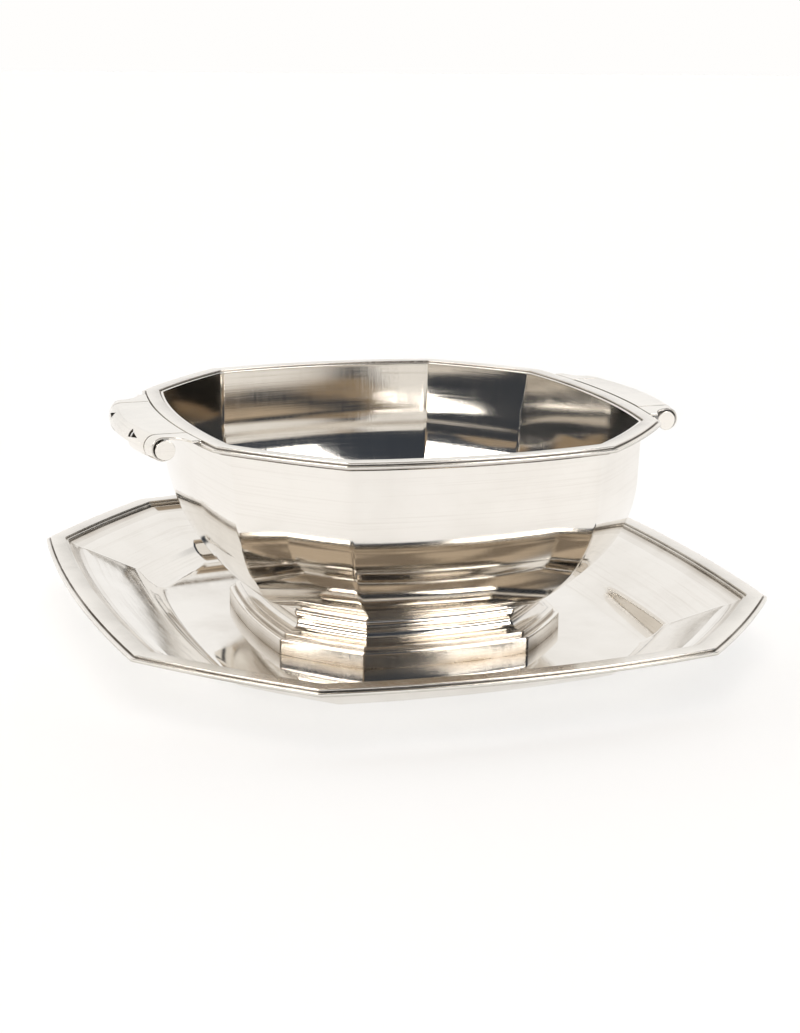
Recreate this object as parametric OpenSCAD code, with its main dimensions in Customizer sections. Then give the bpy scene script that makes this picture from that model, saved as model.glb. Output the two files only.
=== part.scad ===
// Octagonal silver sauce boat fixed to its own undertray.
// Millimetres, +Z up. The origin is on the table, under the centre of the tray.
// X runs through the two handles, Y runs across them.

/* [Overall] */
// height from the table to the top of the rim
overall_height = 78; // [70:0.5:90]
// height from the table to the top of the tray border
tray_height = 19.6; // [16:0.2:24]
// length of the bowl rim along the handles
rim_length = 164.4; // [135:0.2:190]
// width of the bowl rim across the handles
rim_width = 176.4; // [145:0.2:205]
// length of the tray border along the handles
tray_length = 226.8; // [195:0.2:265]
// width of the tray border across the handles
tray_width = 250; // [215:0.5:290]

/* [Octagon] */
// share of the rim length taken by the two cut corners on one side
rim_cut_share_x = 0.4; // [0.3:0.005:0.46]
// share of the rim width taken by the two cut corners on one end
rim_cut_share_y = 0.382; // [0.3:0.002:0.42]
// share of the tray length taken by the two cut corners on one side
tray_cut_share_x = 0.393; // [0.3:0.001:0.46]
// share of the tray width taken by the two cut corners on one end
tray_cut_share_y = 0.376; // [0.3:0.002:0.42]
// how far the long sides of the rim bow outwards
rim_bow_side = 4.9; // [2:0.1:7]
// how far the handle ends of the rim bow outwards
rim_bow_end = 5; // [2:0.1:7]
// how far the corner faces of the rim bow outwards
rim_bow_corner = 1.2; // [0.5:0.1:2.5]
// how far the long sides of the tray bow outwards
tray_bow_side = 6; // [3:0.1:9]
// how far the handle ends of the tray bow outwards
tray_bow_end = 4.1; // [2:0.1:7]
// how far the corner faces of the tray bow outwards
tray_bow_corner = 1.25; // [0.5:0.05:2.5]

/* [Bowl] */
// thickness of the bowl sheet
bowl_sheet = 1; // [0.9:0.1:1.6]
// underside of the bowl, where it stands on the foot
bowl_base_z = 17.1; // [15:0.1:20]
// height where the upright wall turns into the belly
belly_top_z = 59.6; // [55:0.2:64]
// how far the wall stands inside the rim
wall_inset = 5; // [4:0.1:6.5]
// how much the end walls lean in below the rim
end_lean = 1.2; // [0:0.1:2]
// how far the belly draws in under the long sides
belly_in_side = 32.8; // [28:0.1:36]
// how far the belly draws in under the ends
belly_in_end = 29.8; // [26:0.1:33]
// how far the belly draws in under the corner faces
belly_in_corner = 33.6; // [29:0.1:37]
// radius of the belly turn above the foot, sides
turn_side = 25; // [20:0.5:28]
// radius of the belly turn above the foot, ends
turn_end = 21; // [18:0.5:25]
// radius of the belly turn above the foot, corner faces
turn_corner = 22; // [18:0.5:28]

/* [Borders] */
// thickness of the upper layer of both borders
layer_top = 0.8; // [0.6:0.1:1.2]
// thickness of the lower layer of both borders
layer_low = 1.1; // [0.8:0.1:1.5]
// how far the lower layer stands out past the upper one
layer_step = 1.4; // [1:0.1:2]
// width of the upper layer on the tray
tray_band = 5.3; // [4.5:0.1:6.5]
// width of the flat seat for the tray border
tray_seat = 7.4; // [6.8:0.1:9]
// how far the sheet edges hide under the borders
hide = 1.5; // [1:0.1:2]
// groove between the rim border and the lip of the bowl
lip_gap = 0.4; // [0.3:0.05:0.6]
// how far the lip of the bowl lies below the rim
lip_drop = 0.6; // [0.3:0.1:0.9]

/* [Tray] */
// thickness of the tray sheet
tray_sheet = 1.2; // [1:0.1:1.6]
// width from the tray edge to the foot of the border cove
cove_in = 12.5; // [11:0.1:15]
// drop from the tray border to the foot of the cove
cove_drop = 4; // [3:0.1:5]
// width from the tray edge to the start of the well
marli_in = 31; // [27:0.5:35]
// drop from the tray border to the start of the well
marli_drop = 11.5; // [9:0.5:13]
// width from the tray edge to the flat of the well
well_in = 38.5; // [35:0.5:43]
// radius of the raised middle that carries the fixing
boss_r = 12.5; // [11:0.5:16]

/* [Foot] */
// inset of the foot groove from the rim, long sides
neck_in_side = 37.9; // [34:0.1:42]
// inset of the foot groove from the rim, ends
neck_in_end = 36; // [33:0.1:39]
// inset of the foot groove from the rim, corner faces
neck_in_corner = 38.6; // [35:0.1:42]
// how far the bead swells out from the neck
bead_out = 1.1; // [0.6:0.1:1.6]
// height of the bead
bead_h = 3.8; // [3:0.1:4.4]
// height where neck and plinth meet
plinth_top_z = 8.3; // [7.6:0.1:9.4]
// radius of the cove under the bead
cove_r = 3.6; // [3:0.1:3.9]
// width of the plinth beyond the cove
plinth_out = 3.9; // [3:0.1:5]
// width of the small step on top of the plinth
plinth_step = 2; // [1:0.1:3]
// thickness of the neck wall
neck_wall = 2.2; // [1.6:0.1:3]

/* [Fixing] */
// thickness of the plate that closes the foot
base_sheet = 0.9; // [0.8:0.1:1.2]
// diameter of the fixing stud
stud_d = 4.8; // [4:0.1:6]
// diameter of the flat head of the stud
stud_head_d = 12; // [9:0.5:14]
// thickness of the head of the stud
stud_head_h = 1.2; // [1:0.1:2]
// play of the stud in the holes that it passes through, on the diameter
stud_play = 0.6; // [0.4:0.1:1.2]
// diameter of the washer
washer_d = 10.4; // [9:0.2:14]
// thickness of the washer
washer_h = 0.9; // [0.8:0.1:1.2]
// size of the nut across its flats
nut_af = 8; // [7:0.5:10]
// height of the nut
nut_h = 2.7; // [2:0.1:3.2]
// length of stud left under the nut
stud_tail = 0.8; // [0.5:0.1:1.2]

/* [Handles] */
// half width of a handle over its rolled end
handle_half = 32.3; // [28:0.1:35]
// how far the axis of the roll stands beyond the end of the rim
handle_reach = 12.3; // [9:0.1:18]
// radius of the bow of the roll in plan
roll_bow_r = 120; // [90:5:200]
// outer radius of the rolled edge
roll_r = 3.95; // [3.6:0.05:4.6]
// gap between the rolled sheet and the plugs inside it
roll_gap = 0.3; // [0.3:0.05:0.5]
// width of the raised side bands
side_band = 5.2; // [4:0.1:6.5]
// width of the dark grooves beside the side bands and along the rim
groove = 0.5; // [0.35:0.05:0.8]
// how far the handle root spreads at the rim
root_flare = 7.3; // [5:0.1:8]
// half width of the middle of a handle, where the edge is rolled only half way
middle_half = 14; // [11:0.5:16]
// width of the notch where the half roll and the full roll meet
notch_w = 7; // [4:0.5:8]
// thickness of the disc that closes the full roll beside the middle
web_sheet = 0.6; // [0.5:0.1:1]
// length of the solid plug in each end of a roll
plug_length = 8.6; // [7:0.2:12]

/* [Hidden] */
$fn = 96;
silver = [0.80, 0.79, 0.76];
silver_low = [0.72, 0.71, 0.68];
steel = [0.62, 0.62, 0.60];
side_steps = 8;
corner_steps = 3;
belly_steps = 11;
cove_steps = 5;
eps = 0.01;

// heights worked out from the sizes above
rim_low_z = overall_height - layer_top - layer_low;
rim_mid_z = overall_height - layer_top;
tray_seat_z = tray_height - layer_top - layer_low;
tray_mid_z = tray_height - layer_top;
border_in = wall_inset - lip_gap;
roll_z = overall_height - roll_r;
plug_r = roll_r - layer_top - roll_gap;
boss_z = plinth_top_z - base_sheet;
roll_x = rim_length / 2 + handle_reach;
stud_hole_d = stud_d + stud_play;
washer_z = boss_z - tray_sheet - washer_h;
nut_z = washer_z - nut_h;
plinth_in = plinth_out + cove_r;

// radius of an arc from its half chord and its rise
function arc_r(half, rise) = (half * half + rise * rise) / (2 * rise);

// [centre x, centre y, radius] of the side, end and corner arcs of a bowed octagon
function panels(l, w, cut_x, cut_y, bow_s, bow_e, bow_c) =
    let (
        l2 = l / 2 - bow_e,
        w2 = w / 2 - bow_s,
        x1 = l2 - cut_x,
        y1 = w2 - cut_y,
        rs = arc_r(x1, bow_s),
        re = arc_r(y1, bow_e),
        hc = norm([cut_x, cut_y]) / 2,
        rc = arc_r(hc, bow_c)
    )
    [
        [0, w / 2 - rs, rs],
        [l / 2 - re, 0, re],
        [(x1 + l2) / 2 - cut_y / (2 * hc) * (rc - bow_c),
         (w2 + y1) / 2 - cut_x / (2 * hc) * (rc - bow_c),
         rc]
    ];

rim = panels(rim_length, rim_width, rim_length * rim_cut_share_x / 2,
             rim_width * rim_cut_share_y / 2, rim_bow_side, rim_bow_end, rim_bow_corner);
tray = panels(tray_length, tray_width, tray_length * tray_cut_share_x / 2,
              tray_width * tray_cut_share_y / 2, tray_bow_side, tray_bow_end,
              tray_bow_corner);

// crossing of two circles, the one furthest along +x and +y
function crossing(a, ra, b, rb) =
    let (
        d = b - a,
        l = norm(d),
        t = (l * l + ra * ra - rb * rb) / (2 * l),
        h = sqrt(ra * ra - t * t),
        m = a + d * t / l,
        n = [-d.y, d.x] * h / l,
        p = m + n,
        q = m - n
    )
    p.x + p.y > q.x + q.y ? p : q;

// one closed loop round a bowed octagon, drawn in by the insets i = [side, end, corner]
function ring(p, i, z) =
    let (
        cs = [p[0].x, p[0].y],
        ce = [p[1].x, p[1].y],
        cc = [p[2].x, p[2].y],
        rs = p[0].z - i[0],
        re = p[1].z - i[1],
        rc = p[2].z - i[2],
        a = crossing(cs, rs, cc, rc),
        b = crossing(ce, re, cc, rc),
        a1 = atan2(a.y - cc.y, a.x - cc.x),
        b1 = atan2(b.y - cc.y, b.x - cc.x),
        n = side_steps,
        m = corner_steps,
        end_arc = [for (k = [0 : n - 1]) let (y = b.y * (2 * k / n - 1))
            [ce.x + sqrt(re * re - y * y), y]],
        corner_arc = [for (k = [0 : m - 1]) let (t = b1 + (a1 - b1) * k / m)
            [cc.x + rc * cos(t), cc.y + rc * sin(t)]],
        side_arc = [for (k = [0 : n - 1]) let (x = a.x * (1 - 2 * k / n))
            [x, cs.y + sqrt(rs * rs - x * x)]],
        corner_back = [for (k = [0 : m - 1]) let (t = a1 + (b1 - a1) * k / m)
            [-(cc.x + rc * cos(t)), cc.y + rc * sin(t)]],
        half = concat(end_arc, corner_arc, side_arc, corner_back)
    )
    concat([for (v = half) [v.x, v.y, z]], [for (v = half) [-v.x, -v.y, z]]);

ring_points = 4 * (side_steps + corner_steps);

// solid through a stack of loops; closed ends, or joined last to first
module loft(loops, joined = false) {
    count = len(loops);
    n = ring_points;
    last = joined ? count - 1 : count - 2;
    walls = [for (i = [0 : last]) for (j = [0 : n - 1])
        let (a = i * n + j, b = i * n + (j + 1) % n,
             c = ((i + 1) % count) * n + (j + 1) % n, d = ((i + 1) % count) * n + j)
        each [[a, d, c], [a, c, b]]];
    caps = joined ? [] : [
        [for (j = [0 : n - 1]) j],
        [for (j = [0 : n - 1]) (count - 1) * n + (n - 1 - j)]
    ];
    polyhedron([for (l = loops) each l], concat(walls, caps), convexity = 8);
}

// flat bowed octagon with exact arcs, drawn in by the inset
module plan(p, inset) {
    intersection() {
        translate([0, p[0].y]) circle(p[0].z - inset);
        translate([0, -p[0].y]) circle(p[0].z - inset);
        translate([p[1].x, 0]) circle(p[1].z - inset);
        translate([-p[1].x, 0]) circle(p[1].z - inset);
        translate([p[2].x, p[2].y]) circle(p[2].z - inset);
        translate([-p[2].x, p[2].y]) circle(p[2].z - inset);
        translate([p[2].x, -p[2].y]) circle(p[2].z - inset);
        translate([-p[2].x, -p[2].y]) circle(p[2].z - inset);
    }
}

// flat border layer between two insets
module layer(p, outer, inner, z, h) {
    translate([0, 0, z])
        linear_extrude(h)
            difference() {
                plan(p, outer);
                plan(p, inner);
            }
}

// ---- bowl ----

belly_h = belly_top_z - bowl_base_z;

// upper belly radius, so that it runs into the wall and into the lower turn
function belly_r(d, turn) =
    (d * d + (belly_h - turn) * (belly_h - turn) - turn * turn) / (2 * (d - turn));

// inset of the belly from the wall at height z, t = how far inside the sheet
function belly(z, d, turn, t) =
    let (
        big = belly_r(d, turn),
        zj = bowl_base_z + turn - turn * (belly_h - turn) / (big - turn)
    )
    z >= belly_top_z ? t
    : z >= zj ? big - sqrt(pow(big - t, 2) - pow(belly_top_z - z, 2))
    : d - sqrt(max(pow(turn - t, 2) - pow(bowl_base_z + turn - z, 2), 0));

function bowl_inset(z, t) =
    let (lean = end_lean * (rim_low_z - max(z, belly_top_z)) / (rim_low_z - belly_top_z))
    [
        wall_inset + belly(z, belly_in_side, turn_side, t),
        wall_inset + lean + belly(z, belly_in_end, turn_end, t),
        wall_inset + belly(z, belly_in_corner, turn_corner, t)
    ];

// heights that crowd together near the base, where the belly is nearly flat
function belly_z(k, t) =
    bowl_base_z + t + (belly_h - t) * (1 - cos(90 * k / belly_steps));

module bowl_shell() {
    flange_z = rim_low_z - bowl_sheet;
    lip_z = overall_height - lip_drop;
    out = [hide, hide, hide];
    wall_in = [wall_inset, wall_inset, wall_inset];
    seat_in = [border_in + lip_gap, border_in + lip_gap, border_in + lip_gap];
    t = bowl_sheet;
    outer = [for (k = [0 : belly_steps]) let (z = belly_z(k, 0)) ring(rim, bowl_inset(z, 0), z)];
    inner = [for (k = [belly_steps : -1 : 0]) let (z = belly_z(k, t)) ring(rim, bowl_inset(z, t), z)];
    color(silver)
        loft(concat(
            outer,
            [
                ring(rim, bowl_inset(flange_z, 0), flange_z),
                ring(rim, out, flange_z),
                ring(rim, out, rim_low_z),
                ring(rim, wall_in, rim_low_z),
                ring(rim, wall_in, lip_z),
                ring(rim, [for (w = wall_in) w + t], lip_z),
                ring(rim, bowl_inset(flange_z, t), flange_z)
            ],
            inner
        ));
}

module rim_plate() {
    color(silver) layer(rim, 0, border_in, rim_mid_z, layer_top);
}

module rim_bead() {
    color(silver_low) layer(rim, -layer_step, border_in, rim_low_z, layer_low);
}

// ---- tray ----

module tray_plate() {
    s = tray_sheet;
    floor_z = s;
    // [inset, height] down the upper face, from the seat to the well
    top = [
        [hide, tray_seat_z],
        [tray_seat, tray_seat_z],
        [(tray_seat + cove_in) / 2, tray_seat_z - (tray_seat_z - tray_height + cove_drop) * 0.72],
        [cove_in, tray_height - cove_drop],
        [marli_in, tray_height - marli_drop],
        [(marli_in + well_in) / 2, (tray_height - marli_drop + floor_z) / 2 - 1],
        [well_in, floor_z]
    ];
    // [inset, height] up the under face, from the well to the edge
    under = [
        [well_in + 0.4, 0],
        [(marli_in + well_in) / 2 + 0.6, (tray_height - marli_drop) / 2 - 1.4],
        [marli_in + 0.6, tray_height - marli_drop - s],
        [cove_in + 0.4, tray_height - cove_drop - s],
        [tray_seat, tray_seat_z - s],
        [hide, tray_seat_z - s]
    ];
    color(silver)
        difference() {
            union() {
                loft([for (p = concat(under, top)) ring(tray, [p.x, p.x, p.x], p.y)]);
                translate([0, 0, floor_z - eps])
                    cylinder(h = boss_z - floor_z + eps, r1 = boss_r + boss_z - floor_z, r2 = boss_r);
            }
            translate([0, 0, -eps])
                cylinder(h = boss_z - s + eps, r1 = boss_r + boss_z - 2 * s + 0.4, r2 = boss_r - 1);
            cylinder(h = boss_z * 2, d = stud_hole_d);
        }
}

module tray_border_plate() {
    color(silver) layer(tray, 0, tray_band, tray_mid_z, layer_top);
}

module tray_border_bead() {
    color(silver_low) layer(tray, -layer_step, tray_band + 1, tray_seat_z, layer_low);
}

// ---- foot ----

function foot_inset(d) = [neck_in_side + d, neck_in_end + d, neck_in_corner + d];

module foot_neck() {
    bead_z = bowl_base_z - 0.6 - bead_h / 2;
    groove_z = bead_z - bead_h / 2 - 0.5;
    // the cove starts at the groove and ends on the plinth
    cove_z = plinth_top_z + cove_r;
    bead = [for (k = [0 : 6]) let (a = -90 + 30 * k)
        [-bead_out * cos(a), bead_z + bead_h / 2 * sin(a)]];
    cove = [for (k = [0 : cove_steps]) let (a = 90 - 90 * k / cove_steps)
        [-cove_r + cove_r * cos(a), cove_z - cove_r * sin(a)]];
    profile = concat(
        [[neck_wall, plinth_top_z]],
        cove,
        bead,
        [[0, bowl_base_z], [neck_wall, bowl_base_z]]
    );
    color(silver)
        loft([for (p = profile) ring(rim, foot_inset(p.x), p.y)], joined = true);
}

module foot_plinth() {
    step_z = plinth_top_z - 1.5;
    rise = step_z - tray_sheet;
    edge = plinth_in;
    profile = [
        [neck_wall - 0.8 - 2, tray_sheet],
        [-edge, tray_sheet],
        [-edge, step_z - rise * 0.2],
        [-edge + 0.25, step_z - rise * 0.08],
        [-edge + 0.8, step_z],
        [-edge + plinth_step, step_z],
        [-edge + plinth_step, plinth_top_z],
        [neck_wall - 0.8 - 2, plinth_top_z]
    ];
    color(silver)
        loft([for (p = profile) ring(rim, foot_inset(p.x), p.y)], joined = true);
}

module foot_base_plate() {
    d = neck_wall - 0.8 - 2 + 0.4;
    color(silver_low)
        difference() {
            loft([ring(rim, foot_inset(d), boss_z), ring(rim, foot_inset(d), plinth_top_z)]);
            cylinder(h = overall_height, d = stud_hole_d);
        }
}

// ---- fixing ----

module fixing_stud() {
    color(steel) {
        translate([0, 0, nut_z - stud_tail])
            cylinder(h = plinth_top_z + stud_head_h - nut_z + stud_tail, d = stud_d);
        translate([0, 0, plinth_top_z])
            cylinder(h = stud_head_h, d = stud_head_d);
    }
}

module fixing_washer() {
    color(steel)
        translate([0, 0, washer_z])
            difference() {
                cylinder(h = washer_h, d = washer_d);
                translate([0, 0, -1]) cylinder(h = washer_h + 2, d = stud_hole_d);
            }
}

module fixing_nut() {
    color(steel)
        translate([0, 0, nut_z])
            difference() {
                cylinder(h = nut_h, d = nut_af / cos(30), $fn = 6);
                translate([0, 0, -1]) cylinder(h = nut_h + 2, d = stud_hole_d);
            }
}

// ---- handles ----

band_y = handle_half - side_band;
ribbon_half = band_y - groove;
bow_x = roll_x - roll_bow_r;
root_x = rim_length / 2 + groove;
flare_r = root_flare + 1.1;

// everything outside the rim border, between two distances from the X axis
module beyond_rim(y0, y1, y_sign) {
    intersection() {
        difference() {
            translate([0, y_sign > 0 ? y0 : -y1]) square([roll_x + 20, y1 - y0]);
            translate([rim[1].x, 0]) circle(rim[1].z + groove);
        }
        translate([bow_x, 0]) circle(roll_bow_r);
    }
}

// section of the rolled edge: sheet curled to a full roll with a flat lip, or half way only
module curl_section(full) {
    inner = roll_r - layer_top;
    low = full ? -roll_r : -roll_r * 0.15;
    difference() {
        circle(roll_r);
        circle(inner);
        translate([-2 * roll_r, -2 * roll_r]) square([2 * roll_r, 4 * roll_r]);
        translate([-roll_r, -2 * roll_r]) square([3 * roll_r, 2 * roll_r + low]);
    }
    if (full)
        translate([-roll_r * 0.6, -roll_r])
            square([roll_r * 0.6 + eps, layer_top + roll_gap + 0.25]);
}

module curl(y0, y1, full = true) {
    span = 2 * asin((handle_half + 8) / roll_bow_r);
    intersection() {
        translate([bow_x, 0, roll_z])
            rotate([0, 0, -span / 2])
                rotate_extrude(angle = span, $fn = 180)
                    translate([roll_bow_r, 0]) curl_section(full);
        translate([0, y0, 0]) cube([roll_x + 20, y1 - y0, overall_height + 10]);
    }
}

// notch in the rolled edge beside the middle, cut along X through the outer wall only
module notch(side) {
    translate([roll_x - 2, 0, 0])
        rotate([90, 0, 90])
            linear_extrude(roll_r + 6)
                polygon([
                    [side * (middle_half - 0.4), roll_z + roll_r * 0.84],
                    [side * (middle_half + notch_w), roll_z + roll_r * 0.45],
                    [side * (middle_half - 0.4), roll_z + roll_r * 0.2]
                ]);
}

// disc that closes the full roll beside the middle
module web(side) {
    span = 2 * asin((handle_half + 8) / roll_bow_r);
    near = middle_half + 0.4;
    intersection() {
        translate([bow_x, 0, roll_z])
            rotate([0, 0, -span / 2])
                rotate_extrude(angle = span, $fn = 180)
                    translate([roll_bow_r, 0])
                        circle(roll_r - layer_top + 0.1);
        translate([0, side > 0 ? near : -near - web_sheet, 0])
            cube([roll_x + 20, web_sheet, overall_height + 10]);
    }
}

// middle of the handle: flat sheet that rolls over at its outer edge
module ribbon() {
    color(silver) {
        web(-1);
        web(1);
        difference() {
            union() {
                translate([0, 0, rim_mid_z])
                    linear_extrude(layer_top)
                        union() {
                            beyond_rim(0, ribbon_half, 1);
                            beyond_rim(0, ribbon_half, -1);
                        }
                curl(-ribbon_half, -middle_half);
                curl(-middle_half, middle_half, false);
                curl(middle_half, ribbon_half);
            }
            notch(-1);
            notch(1);
        }
    }
}

// raised band along one side of a handle, spreading at its root
module side_strip(side) {
    color(silver) {
        translate([0, 0, rim_mid_z])
            linear_extrude(layer_top)
                difference() {
                    beyond_rim(band_y, handle_half + root_flare, side);
                    translate([root_x + flare_r, side * (handle_half + flare_r)])
                        circle(flare_r);
                    translate([root_x + flare_r, side > 0 ? handle_half : -handle_half - 20])
                        square([30, 20]);
                }
        curl(side > 0 ? band_y : -handle_half, side > 0 ? handle_half : -band_y);
    }
}

// solid plug in one end of a roll, flattened where it sits on the lip
module end_plug(side) {
    span = 2 * asin((handle_half + 8) / roll_bow_r);
    seat = roll_r - layer_top - roll_gap - 0.25;
    color(silver_low)
        intersection() {
            translate([bow_x, 0, roll_z])
                rotate([0, 0, -span / 2])
                    rotate_extrude(angle = span, $fn = 180)
                        translate([roll_bow_r, 0])
                            intersection() {
                                circle(plug_r);
                                translate([-roll_r, -seat]) square([2 * roll_r, roll_r + seat]);
                            }
            translate([0, side > 0 ? handle_half - plug_length : -handle_half, 0])
                cube([roll_x + 20, plug_length, overall_height + 10]);
        }
}

module left_handle_ribbon() { mirror([1, 0, 0]) ribbon(); }
module right_handle_ribbon() { ribbon(); }
module left_handle_front_band() { mirror([1, 0, 0]) side_strip(-1); }
module left_handle_back_band() { mirror([1, 0, 0]) side_strip(1); }
module right_handle_front_band() { side_strip(-1); }
module right_handle_back_band() { side_strip(1); }
module left_handle_front_plug() { mirror([1, 0, 0]) end_plug(-1); }
module left_handle_back_plug() { mirror([1, 0, 0]) end_plug(1); }
module right_handle_front_plug() { end_plug(-1); }
module right_handle_back_plug() { end_plug(1); }

bowl_shell();
rim_plate();
rim_bead();
tray_plate();
tray_border_plate();
tray_border_bead();
foot_neck();
foot_plinth();
foot_base_plate();
left_handle_ribbon();
right_handle_ribbon();
left_handle_front_band();
left_handle_back_band();
right_handle_front_band();
right_handle_back_band();
left_handle_front_plug();
left_handle_back_plug();
right_handle_front_plug();
right_handle_back_plug();
fixing_stud();
fixing_washer();
fixing_nut();
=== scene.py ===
# %% [markdown]
# # An octagonal silver sauce boat
# This lesson dresses a finished engineering model of a sauce boat in polished
# silver. The engineering model stays as a fixed frame: it says where each part
# is and how big it is. We only rebuild the surfaces that a mirror polish would
# give away, and give every part a metal that has been used and cleaned.
#
# Everything is in metres inside Blender. The sizes below are written in
# millimetres, because that is how a silversmith would read them.

import math

import bmesh
import bpy
import numpy as np
from mathutils import Matrix, Vector


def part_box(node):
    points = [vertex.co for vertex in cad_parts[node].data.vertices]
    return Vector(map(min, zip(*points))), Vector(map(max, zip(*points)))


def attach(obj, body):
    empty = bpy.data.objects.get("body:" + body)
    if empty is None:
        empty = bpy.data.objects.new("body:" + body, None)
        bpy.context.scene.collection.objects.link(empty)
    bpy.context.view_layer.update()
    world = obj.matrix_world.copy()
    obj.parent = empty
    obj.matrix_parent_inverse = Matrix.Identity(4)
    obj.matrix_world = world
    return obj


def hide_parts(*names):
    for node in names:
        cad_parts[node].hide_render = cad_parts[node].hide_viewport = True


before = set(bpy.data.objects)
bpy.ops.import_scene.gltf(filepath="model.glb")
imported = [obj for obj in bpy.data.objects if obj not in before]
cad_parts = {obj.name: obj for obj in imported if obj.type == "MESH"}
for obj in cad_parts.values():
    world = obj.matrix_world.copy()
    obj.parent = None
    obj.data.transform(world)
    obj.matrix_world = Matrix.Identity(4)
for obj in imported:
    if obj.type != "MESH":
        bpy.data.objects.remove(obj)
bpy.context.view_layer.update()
print("nodes in the frame:", len(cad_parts))

# %% [markdown]
# ## Sizes
# The object has two octagons, the rim of the bowl and the edge of the tray.
# None of their sides is straight: each one bows outwards as a shallow arc.
# Four numbers fix one octagon - length, width and the two corner cuts - and
# three more fix how far its sides, ends and corner faces bow.

# %% Sizes of the sauce boat, in millimetres
MM = 0.001
RIM_LONG, RIM_WIDE = 164.4, 176.4
TRAY_LONG, TRAY_WIDE = 226.8, 250.0
TOP = 78.0
TRAY_TOP = 19.6
LAYER_TOP = 0.8
LAYER_LOW = 1.1
LAYER_STEP = 1.4
RIM_BAND = 4.6
TRAY_BAND = 5.3
WALL_IN = 5.0
LIP_DROP = 0.6
BOWL_SHEET = 1.0
TRAY_SHEET = 1.2
HIDE = 1.5
BOWL_BASE = 17.1
BELLY_TOP = 59.6
PLINTH_TOP = 8.3
RIM_MID = TOP - LAYER_TOP
RIM_LOW = RIM_MID - LAYER_LOW
TRAY_MID = TRAY_TOP - LAYER_TOP
TRAY_SEAT = TRAY_MID - LAYER_LOW
print("rim border from", RIM_LOW, "to", TOP, "mm; tray border from", TRAY_SEAT, "to", TRAY_TOP)

# %% [markdown]
# ## The rule behind every octagon
# A bowed octagon is eight circles laid over each other. By symmetry only three
# are different: one for the long sides, one for the ends and one for the corner
# faces. Drawing a circle in by a distance keeps its centre and shortens its
# radius, so the same three circles give the rim, the wall, the belly and the
# foot, each a little further in.


# %% Three circles for one octagon
def arc_radius(half_chord, rise):
    """Radius of the arc that rises so much over so wide a chord."""
    return (half_chord**2 + rise**2) / (2 * rise)


def octagon(length, width, cut_x, cut_y, bow_side, bow_end, bow_corner):
    """[(centre x, centre y, radius)] of the side, end and corner circles."""
    end_x, side_y = length / 2 - bow_end, width / 2 - bow_side
    side_x, end_y = end_x - cut_x, side_y - cut_y
    r_side = arc_radius(side_x, bow_side)
    r_end = arc_radius(end_y, bow_end)
    half = math.hypot(cut_x, cut_y) / 2
    r_corner = arc_radius(half, bow_corner)
    out = r_corner - bow_corner
    mid_x, mid_y = (side_x + end_x) / 2, (side_y + end_y) / 2
    return [
        (0.0, width / 2 - r_side, r_side),
        (length / 2 - r_end, 0.0, r_end),
        (mid_x - cut_y / (2 * half) * out, mid_y - cut_x / (2 * half) * out, r_corner),
    ]


# the corner cuts are shares of the length and the width; the bows are in millimetres
RIM = octagon(RIM_LONG, RIM_WIDE, RIM_LONG * 0.2, RIM_WIDE * 0.191, 4.9, 5.0, 1.2)
TRAY = octagon(TRAY_LONG, TRAY_WIDE, TRAY_LONG * 0.1965, TRAY_WIDE * 0.188, 6.0, 4.1, 1.25)
print("rim circle radii:", [round(c[2], 1) for c in RIM])
print("tray circle radii:", [round(c[2], 1) for c in TRAY])


# %% [markdown]
# ## Where two faces meet
# A corner of the octagon is the point where two of its circles cross. Two
# circles cross twice, and the corner is always the outer crossing.

# %% Where two of the circles cross
def crossing(c0, r0, c1, r1):
    """The crossing point that lies furthest along +x and +y."""
    c0, c1 = np.array(c0), np.array(c1)
    gap = np.linalg.norm(c1 - c0)
    along = (gap**2 + r0**2 - r1**2) / (2 * gap)
    across = math.sqrt(max(r0**2 - along**2, 0))
    way = (c1 - c0) / gap
    foot = c0 + way * along
    side = np.array([-way[1], way[0]]) * across
    return max((foot + side, foot - side), key=lambda p: p[0] + p[1])


# %% [markdown]
# ## One loop round the octagon
# A polished edge is never perfectly sharp, and a sharp one would catch no
# light. So each corner of the loop is cut back by a fraction of a millimetre
# and bridged with a tiny curve. Extra points close to each corner keep the
# shading of the big faces flat right up to the edge.

# %% One closed loop of points
LONG_STEPS = 18
SHORT_STEPS = 8
BRIDGE_STEPS = 4
EDGE_GAP = 0.4  # mm from a corner to the extra point beside it


def spread(steps, edge):
    """0 to 1 in even steps, with one more point close to each end."""
    return np.concatenate([[0.0, edge], np.linspace(0, 1, steps)[1:-1], [1 - edge, 1.0]])


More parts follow.
